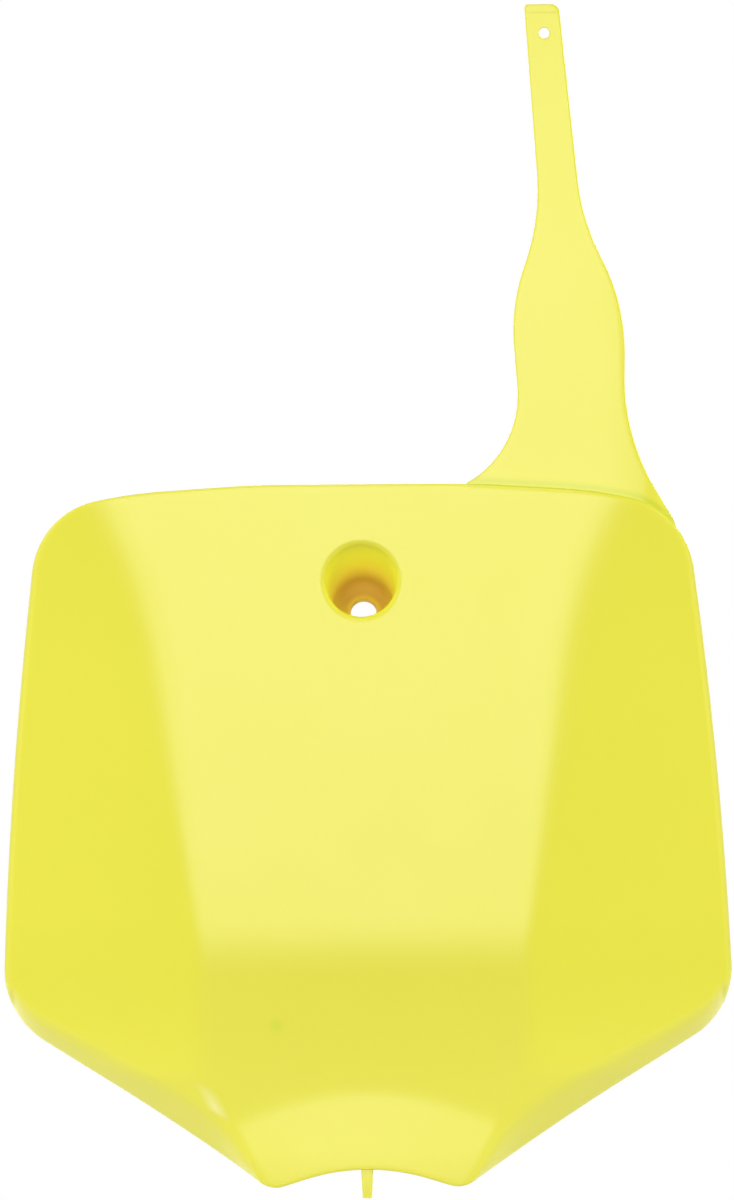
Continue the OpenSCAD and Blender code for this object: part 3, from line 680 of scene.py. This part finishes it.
def make_tongue():
    """A loft of rounded oblong sections, from the tip up past the arch and along the rib behind
    the lip."""
    root_y = face_depth(0, -ARCH_PEAK_H) - CUP_DEPTH + WALL / 2
    rib_top = TONGUE_RIB_H - ARCH_PEAK_H
    rib_y = face_depth(0, rib_top) - CUP_DEPTH + WALL / 2
    tip = -ARCH_PEAK_H - TONGUE_REACH
    cut, cut_in = TONGUE_CUT, TIP_CUT_IN * TONGUE_CUT
    # Levels as (width, z, front, depth), from the tip up
    levels = [
        (TONGUE_TIP_W - 2 * cut, tip, root_y + cut, TONGUE_TIP_DEPTH - 2 * cut),
        (TONGUE_TIP_W - 2 * cut_in, tip + TIP_CUT_UP * cut, root_y + cut_in, TONGUE_TIP_DEPTH - 2 * cut_in),
        (TONGUE_TIP_W, tip + cut, root_y, TONGUE_TIP_DEPTH),
        (TONGUE_W, -ARCH_PEAK_H, root_y, TONGUE_DEPTH),
        (TONGUE_W, TONGUE_COLLAR - ARCH_PEAK_H, root_y, TONGUE_DEPTH),
        (TONGUE_W, rib_top, rib_y, WALL),
    ]
    corner = circle(np.radians(np.arange(0, 91, 15)), 1)
    skin, rows = Skin(), []
    for width, z, front, depth in levels:
        r = min(cut, width / 2, depth / 2)
        a, b = width / 2 - r, depth / 2 - r
        quarters = [corner * r + [a, b], (corner[::-1] * r + [a, b]) * [-1, 1],
                    -(corner * r + [a, b]), (corner[::-1] * r + [a, b]) * [1, -1]]
        ring = np.concatenate(quarters)
        rows.append(np.stack([ring[:, 0], ring[:, 1] + front + depth / 2, 0 * ring[:, 0] + z], -1))
    index = skin.add(rows)
    skin.rings(index)
    skin.cap(index[0])
    skin.cap(index[-1][::-1])
    return skin.mesh("tongue")


# The moulding

def joined(name, meshes):
    """One mesh in which the first takes in the others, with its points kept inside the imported
    node's box."""
    whole = bpy.data.objects.new(name, meshes[0])
    bpy.context.scene.collection.objects.link(whole)
    helpers = []
    for mesh in meshes[1:]:
        helper = bpy.data.objects.new(mesh.name, mesh)
        bpy.context.scene.collection.objects.link(helper)
        helpers.append(helper)
        union = whole.modifiers.new(mesh.name, "BOOLEAN")
        union.operation, union.solver, union.object = "UNION", "MANIFOLD", helper
    bpy.context.view_layer.update()
    depsgraph = bpy.context.evaluated_depsgraph_get()
    result = bpy.data.meshes.new_from_object(whole.evaluated_get(depsgraph))
    whole.modifiers.clear()
    whole.data = result
    result.name = name
    for helper in helpers:
        bpy.data.objects.remove(helper)
    points = read_points(result)
    low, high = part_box("number_plate")
    result.vertices.foreach_set("co", np.clip(points, low, high).astype(np.float32).ravel())
    result.update()
    return whole


def read_points(mesh):
    """The mesh's points as rows of [x, y, z]."""
    flat = np.empty(len(mesh.vertices) * 3, np.float32)
    mesh.vertices.foreach_get("co", flat)
    return flat.reshape(-1, 3).astype(float)


def mark_recess(mesh):
    """Attribute "recess": how deep a point of the cup's inside lies behind the face, from 0 at
    the face to 1 at the cup's depth, and a little less round the bolt hole, where the painted
    shade that it drives turns lighter. Inside means nearer to the bolt's axis than the middle of
    the cup's wall and in front of the floor, or in the bolt hole."""
    p = read_points(mesh) / MM
    ahead = p @ CUP_AXIS
    off_axis = np.linalg.norm(p - ahead[:, None] * CUP_AXIS, axis=1)
    face = face_depth(p[:, 0], p[:, 2]) - CUP_DEPTH
    in_cup = (off_axis < RECESS_R) & (ahead > FLOOR_T / 2 - FLOOR_MARGIN)
    in_hole = (off_axis < BOLT_R + HOLE_MARGIN) & (ahead > HOLE_MARGIN - FLOOR_T / 2)
    # A shallower ring round the hole, where the painted shade turns lighter
    hole_rim_light = HOLE_RING * fade(BOLT_R + HOLE_RING_W - off_axis, 0, HOLE_RING_W)
    depth = np.clip((p[:, 1] - face) / CUP_DEPTH, 0, 1) - hole_rim_light
    value = np.where(in_cup | in_hole, np.maximum(depth, 0), 0)
    add_layer(mesh, "recess", value)


def mark_creases(mesh):
    """Attributes "crease", a bell curve round the line a millimetre above the shield's top edge
    where the strap meets it, for painted shade there, and "glint", a parabola across the crease by
    the left fold, for a painted highlight there, both on the points whose normals look forward."""
    p = read_points(mesh) / MM
    x, z = p[:, 0], p[:, 2]
    above = z - along(OUTLINE[0], np.abs(x))
    normals = np.empty(len(p) * 3, np.float32)
    mesh.vertices.foreach_get("normal", normals)
    forward = normals.reshape(-1, 3)[:, 1] < 0
    at_strap = fade(x, CREASE_X, CREASE_FADE) * (z > CREASE_ABOVE_Z) * forward
    add_layer(mesh, "crease", at_strap * np.exp(-((above - CREASE_UP) / CREASE_W) ** 2))
    middle = np.interp(z, GLINT[:, 0], GLINT[:, 1])
    half_w = np.interp(z, GLINT[:, 0], GLINT[:, 2])
    on_line = (z > GLINT[0, 0]) & (z < GLINT[-1, 0]) & forward
    add_layer(mesh, "glint", np.where(on_line, np.clip(1 - ((x - middle) / half_w) ** 2, 0, 1), 0))


def add_layer(mesh, name, value):
    """A number on each point, kept as an attribute that the material reads."""
    layer = mesh.attributes.new(name, "FLOAT", "POINT")
    layer.data.foreach_set("value", value.astype(np.float32))


moulding = joined("moulding", [make_shield(), make_strap(), make_tongue()])
mark_recess(moulding.data)
mark_creases(moulding.data)
moulding.data.shade_smooth()
moulding.data.set_sharp_from_angle(angle=SHARP_ANGLE)
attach(moulding, "root")
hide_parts("number_plate")


# The plastic

def node(tree, kind, **inputs):
    """A shader node with its sockets set to values or joined to other sockets, by name."""
    made = tree.nodes.new(kind)
    for name, value in inputs.items():
        put(tree, made.inputs[name.replace("_", " ")], value)
    return made


def put(tree, socket, value):
    """Joins another socket to this one, or sets it to a value."""
    if isinstance(value, bpy.types.NodeSocket):
        tree.links.new(value, socket)
    else:
        socket.default_value = value


def blank(name, owner):
    """A new material or world with an empty node tree."""
    material = owner.new(name)
    material.use_nodes = True
    material.node_tree.nodes.clear()
    return material


def noise(tree, where, scale, detail):
    """Noise on the object's own coordinates, from 0 to 1."""
    made = node(tree, "ShaderNodeTexNoise", Vector=where, Scale=scale, Detail=detail)
    return made.outputs["Fac"]


def layer_value(tree, name):
    """One of the mesh's own attributes."""
    layer = tree.nodes.new("ShaderNodeAttribute")
    layer.attribute_name = name
    return layer.outputs["Fac"]


def remap(tree, value, low, high, to_low, to_high):
    """A straight change of range, level beyond both ends."""
    made = node(tree, "ShaderNodeMapRange", Value=value)
    for name, number in (("From Min", low), ("From Max", high), ("To Min", to_low), ("To Max", to_high)):
        made.inputs[name].default_value = number
    return made.outputs["Result"]


def maths(tree, operation, *values):
    """One operation on numbers or sockets, in the order in which its node takes them."""
    made = tree.nodes.new("ShaderNodeMath")
    made.operation = operation
    for socket, value in zip(made.inputs, values):
        put(tree, socket, value)
    return made.outputs["Value"]


def distance_from(tree, where, point):
    """How far a place lies from a point."""
    made = node(tree, "ShaderNodeVectorMath", Vector=where)
    made.operation = "DISTANCE"
    made.inputs[1].default_value = point
    return made.outputs["Value"]


def blend(tree, share, a, b):
    """A mix of two colours."""
    made = tree.nodes.new("ShaderNodeMix")
    made.data_type = "RGBA"
    put(tree, made.inputs["Factor"], share)
    put(tree, made.inputs["A"], a)
    put(tree, made.inputs["B"], b)
    return made.outputs["Result"]


def neon_plastic():
    """Glossy neon-yellow polypropylene: one moulded colour with a faint cloudiness, painted shade in
    the cup that turns amber with depth and a painted glow there, the small round mark that an
    ejector pin leaves, painted shade along the crease under the strap and a painted highlight
    beside the left fold."""
    material = blank("neon_plastic", bpy.data.materials)
    tree = material.node_tree
    where = tree.nodes.new("ShaderNodeTexCoord").outputs["Object"]
    cloud = noise(tree, where, CLOUD_SCALE, NOISE_DETAIL)
    colour = blend(tree, cloud, NEON, NEON_CLOUDY)
    recess = layer_value(tree, "recess")
    # Painted light and shade in the cup: lighter on the upper wall, darker amber towards the floor
    shade_ramp = tree.nodes.new("ShaderNodeValToRGB")
    for k, (at, tint) in enumerate(RECESS_SHADE_TINTS):
        stop = shade_ramp.color_ramp.elements[k] if k < 2 else shade_ramp.color_ramp.elements.new(at)
        stop.position, stop.color = at, tint
    put(tree, shade_ramp.inputs["Fac"], recess)
    in_cup = remap(tree, recess, 0, CUP_START, 0, 1)
    colour = blend(tree, in_cup, colour, shade_ramp.outputs["Color"])
    off_pin = distance_from(tree, where, PIN_MARK)
    pin = remap(tree, off_pin, PIN_MARK_R - PIN_MARK_SOFT, PIN_MARK_R + PIN_MARK_SOFT, 1, 0)
    colour = blend(tree, pin, colour, PIN_TINT)
    # Painted shade along the crease under the strap
    colour = blend(tree, layer_value(tree, "crease"), colour, CREASE_SHADE)
    # Painted highlight beside the left fold
    colour = blend(tree, layer_value(tree, "glint"), colour, GLINT_HIGHLIGHT)
    uneven = noise(tree, where, SMOOTH_SCALE, NOISE_DETAIL)
    rough_face = remap(tree, uneven, 0, 1, ROUGH_LOW, ROUGH_HIGH)
    rough = maths(tree, "MULTIPLY_ADD", in_cup, CUP_ROUGH, rough_face)
    ripple = noise(tree, where, RIPPLE_SCALE, NOISE_DETAIL)
    pebble = noise(tree, where, PEBBLE_SCALE, NOISE_DETAIL)
    height = maths(tree, "MULTIPLY_ADD", pebble, PEBBLE_SHARE, ripple)
    bump = node(tree, "ShaderNodeBump", Strength=BUMP_STRENGTH, Distance=BUMP_DISTANCE, Height=height)
    gloss = remap(tree, in_cup, 0, 1, FACE_GLOSS, CUP_GLOSS)
    # Painted light: an emission in the cup's inside, fading towards the floor
    painted_glow = maths(tree, "MULTIPLY", in_cup, remap(tree, recess, GLOW_FROM, GLOW_TO, 1, GLOW_LEFT))
    surface = node(tree, "ShaderNodeBsdfPrincipled", Base_Color=colour, Roughness=rough,
                   Normal=bump.outputs["Normal"], IOR=PLASTIC_IOR, Specular_IOR_Level=gloss,
                   Emission_Color=PAINTED_GLOW, Emission_Strength=painted_glow)
    output = tree.nodes.new("ShaderNodeOutputMaterial")
    tree.links.new(surface.outputs["BSDF"], output.inputs["Surface"])
    return material


moulding.data.materials.clear()
moulding.data.materials.append(neon_plastic())


# Floor, lamps and camera

def seen(tree):
    """1 for rays from the camera, from gloss and through clear parts, and 0 for all others."""
    path = tree.nodes.new("ShaderNodeLightPath")
    total = path.outputs["Is Camera Ray"]
    for name in ("Is Glossy Ray", "Is Transmission Ray"):
        total = maths(tree, "MAXIMUM", total, path.outputs[name])
    return total


def pale_floor():
    """Pale and matt round the object, where it takes the shadow, and plain white further out for
    the camera. It adds its own light for the camera and for gloss, and none that falls on the
    object."""
    material = blank("pale_floor", bpy.data.materials)
    tree = material.node_tree
    where = tree.nodes.new("ShaderNodeTexCoord").outputs["Object"]
    path = tree.nodes.new("ShaderNodeLightPath")
    far = remap(tree, distance_from(tree, where, SHADOW_AT), SHADOW_R, SHADOW_END_R, 0, 1)
    share = maths(tree, "MULTIPLY", far, path.outputs["Is Camera Ray"])
    matt = node(tree, "ShaderNodeBsdfDiffuse", Color=STAGE_COLOUR)
    strength = remap(tree, path.outputs["Is Glossy Ray"], 0, 1, STAGE_LIFT, STAGE_GLOSS)
    lift = node(tree, "ShaderNodeEmission", Strength=maths(tree, "MULTIPLY", seen(tree), strength))
    near = tree.nodes.new("ShaderNodeAddShader")
    tree.links.new(matt.outputs["BSDF"], near.inputs[0])
    tree.links.new(lift.outputs["Emission"], near.inputs[1])
    white = node(tree, "ShaderNodeEmission", Strength=1.0)
    both = tree.nodes.new("ShaderNodeMixShader")
    tree.links.new(share, both.inputs[0])
    tree.links.new(near.outputs["Shader"], both.inputs[1])
    tree.links.new(white.outputs["Emission"], both.inputs[2])
    output = tree.nodes.new("ShaderNodeOutputMaterial")
    tree.links.new(both.outputs["Shader"], output.inputs["Surface"])
    return material


def lay_floor():
    """A round floor that reaches further behind the board than before it."""
    rim = circle(np.linspace(0, 2 * np.pi, STAGE_SIDES, endpoint=False), STAGE_R)
    mesh = bpy.data.meshes.new("floor")
    mesh.from_pydata([(x, y, 0) for x, y in rim], [], [range(len(rim))])
    floor = bpy.data.objects.new("floor", mesh)
    floor.location = (0, STAGE_BACK, STAGE_Z)
    bpy.context.scene.collection.objects.link(floor)
    mesh.materials.append(pale_floor())


def softbox(name, place, aim, width, height, watts, in_gloss=True):
    """A rectangular lamp that faces a point and that the camera doesn't see."""
    lamp = bpy.data.lights.new(name, "AREA")
    lamp.shape, lamp.size, lamp.size_y, lamp.energy = "RECTANGLE", width, height, watts
    box = bpy.data.objects.new(name, lamp)
    box.location = place
    box.rotation_euler = (Vector(aim) - Vector(place)).to_track_quat("-Z", "Y").to_euler()
    box.visible_camera = False
    box.visible_glossy = in_gloss
    bpy.context.scene.collection.objects.link(box)


def white_room():
    """White where the camera or a gloss looks past the object, and a plain soft light elsewhere."""
    world = blank("white_room", bpy.data.worlds)
    tree = world.node_tree
    strength = remap(tree, seen(tree), 0, 1, ROOM_LIGHT, 1)
    room = node(tree, "ShaderNodeBackground", Strength=strength)
    room.inputs["Color"].default_value = (1, 1, 1, 1)
    output = tree.nodes.new("ShaderNodeOutputWorld")
    tree.links.new(room.outputs["Background"], output.inputs["Surface"])
    bpy.context.scene.world = world


def aim_camera():
    """A long lens, level, turned a little and rolled a little, as the photograph was taken."""
    ahead = Vector((-np.sin(CAMERA_TURN), np.cos(CAMERA_TURN), 0))
    level = Vector((np.cos(CAMERA_TURN), np.sin(CAMERA_TURN), 0))
    plumb = Vector((0, 0, 1))
    right = level * np.cos(CAMERA_ROLL) - plumb * np.sin(CAMERA_ROLL)
    up = level * np.sin(CAMERA_ROLL) + plumb * np.cos(CAMERA_ROLL)
    data = bpy.data.cameras.new("camera")
    data.sensor_width = SENSOR_W
    data.lens = SENSOR_W * CAMERA_DISTANCE / FRAME_H
    data.clip_end = CLIP_END
    camera = bpy.data.objects.new("camera", data)
    turn = Matrix((right, up, -ahead)).transposed().to_4x4()
    camera.matrix_world = Matrix.Translation(Vector(CAMERA_AIM) - ahead * CAMERA_DISTANCE) @ turn
    bpy.context.scene.collection.objects.link(camera)
    bpy.context.scene.camera = camera


lay_floor()
softbox("front_softbox", *FRONT_SOFTBOX)
softbox("low_softbox", *LOW_SOFTBOX)
softbox("top_softbox", *TOP_SOFTBOX)
softbox("left_softbox", *LEFT_SOFTBOX, in_gloss=False)
softbox("right_softbox", *RIGHT_SOFTBOX, in_gloss=False)
softbox("back_softbox", *BACK_SOFTBOX)
white_room()
aim_camera()
bpy.context.scene.view_settings.view_transform = "Standard"
